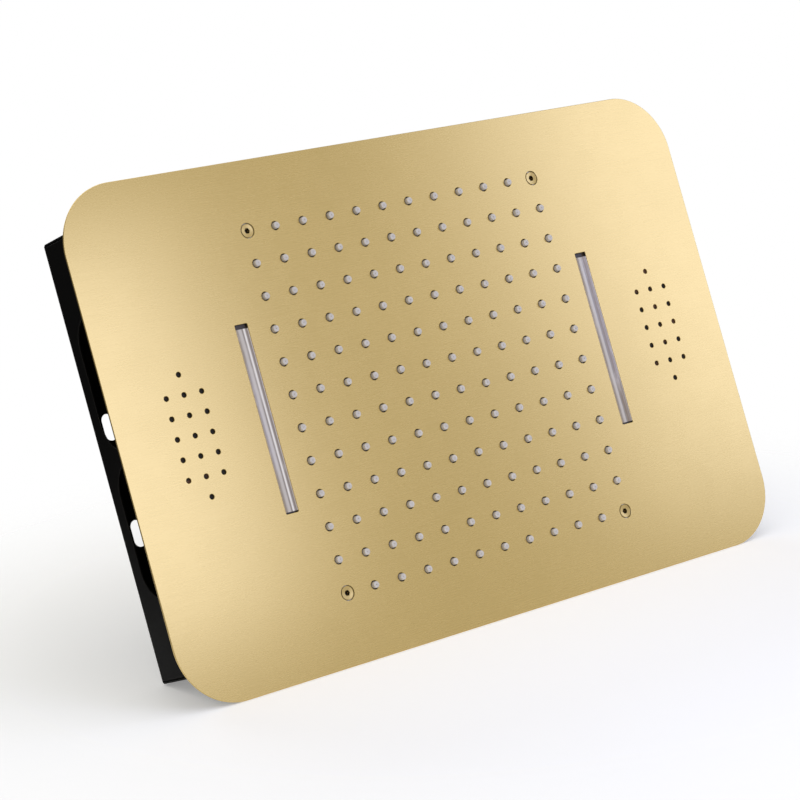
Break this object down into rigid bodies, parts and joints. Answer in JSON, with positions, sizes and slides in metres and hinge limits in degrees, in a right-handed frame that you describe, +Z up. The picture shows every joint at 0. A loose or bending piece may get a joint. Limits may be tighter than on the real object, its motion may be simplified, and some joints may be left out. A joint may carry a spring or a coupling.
{
  "type": "recessed ceiling shower head",
  "caption": "Rounded rectangular gold ceiling shower head with rubber nozzles, clear light bars and sound holes, in a black recess box.",
  "frame": {"origin": "middle of the plane that the nozzle tips end in", "axes": "+X along the long side of the face plate, +Y along its short side, +Z up into the ceiling, so the wet face looks down"},
  "size_m": [0.58, 0.38, 0.0763],
  "materials": {
    "gold_plate": "satin gold coating on stainless steel",
    "gold_screw": "gold coating, turned",
    "nozzle_rubber": "matt silicone",
    "seal_rubber": "matt",
    "chamber_steel": "brushed",
    "fastener_steel": "zinc plated",
    "inlet_brass": "turned",
    "clear_acrylic": "polished clear",
    "white_plastic": "moulded",
    "circuit_board": "white solder mask",
    "light_chip": "moulded lens",
    "black_plastic": "moulded",
    "sound_cloth": "water-shedding mesh",
    "basket_steel": "black",
    "magnet": "ground ferrite",
    "cone_plastic": "moulded",
    "coil_copper": "wound",
    "black_sheet": "powder coated"
  },
  "bodies": {
    "shower_frame": {"face_plate": "gold_plate", "face_screws": "gold_screw", "nozzle_mat": "nozzle_rubber", "rim_seal": "seal_rubber", "inlet_washer": "seal_rubber", "cable_grommet": "seal_rubber", "light_seal_left": "seal_rubber", "light_seal_right": "seal_rubber", "speaker_seal_left": "seal_rubber", "speaker_seal_right": "seal_rubber", "speaker_surround_left": "seal_rubber", "speaker_surround_right": "seal_rubber", "water_chamber": "chamber_steel", "inlet_strainer": "chamber_steel", "plate_studs": "fastener_steel", "stud_nuts": "fastener_steel", "pillar_screws": "fastener_steel", "controller_screws": "fastener_steel", "pillar_1": "fastener_steel", "pillar_2": "fastener_steel", "pillar_3": "fastener_steel", "pillar_4": "fastener_steel", "inlet_tail": "inlet_brass", "inlet_locknut": "inlet_brass", "light_window_left": "clear_acrylic", "light_window_right": "clear_acrylic", "light_housing_left": "white_plastic", "light_housing_right": "white_plastic", "light_board_left": "circuit_board", "light_board_right": "circuit_board", "controller_board": "circuit_board", "light_chips_left": "light_chip", "light_chips_right": "light_chip", "controller_case": "black_plastic", "controller_lid": "black_plastic", "speaker_enclosure_left": "black_plastic", "speaker_enclosure_right": "black_plastic", "sound_cloth_left": "sound_cloth", "sound_cloth_right": "sound_cloth", "speaker_basket_left": "basket_steel", "speaker_basket_right": "basket_steel", "speaker_magnet_left": "magnet", "speaker_magnet_right": "magnet", "end_wall_left_front": "black_sheet", "end_wall_left_rear": "black_sheet", "end_wall_right_front": "black_sheet", "end_wall_right_rear": "black_sheet", "long_wall_front_left": "black_sheet", "long_wall_front_right": "black_sheet", "long_wall_rear_left": "black_sheet", "long_wall_rear_right": "black_sheet", "back_panel": "black_sheet"},
    "cone_left": {"speaker_cone_left": "cone_plastic", "dust_cap_left": "cone_plastic", "voice_coil_left": "coil_copper"},
    "cone_right": {"speaker_cone_right": "cone_plastic", "dust_cap_right": "cone_plastic", "voice_coil_right": "coil_copper"},
    "union_nut": {"inlet_union_nut": "inlet_brass"}
  },
  "joints": [
    {"name": "cone_left_travel", "type": "slide", "parent": "shower_frame", "child": "cone_left", "axis": [0, 0, 1], "range_m": [-0.0012, 0.0012], "stiffness_N_per_m": 1500, "deforming": ["speaker_surround_left"]},
    {"name": "cone_right_travel", "type": "slide", "parent": "shower_frame", "child": "cone_right", "axis": [0, 0, 1], "range_m": [-0.0012, 0.0012], "stiffness_N_per_m": 1500, "deforming": ["speaker_surround_right"]},
    {"name": "union_nut_spin", "type": "hinge", "parent": "shower_frame", "child": "union_nut", "pos_m": [0, 0, 0.048], "axis": [0, 0, 1], "continuous": true}
  ]
}
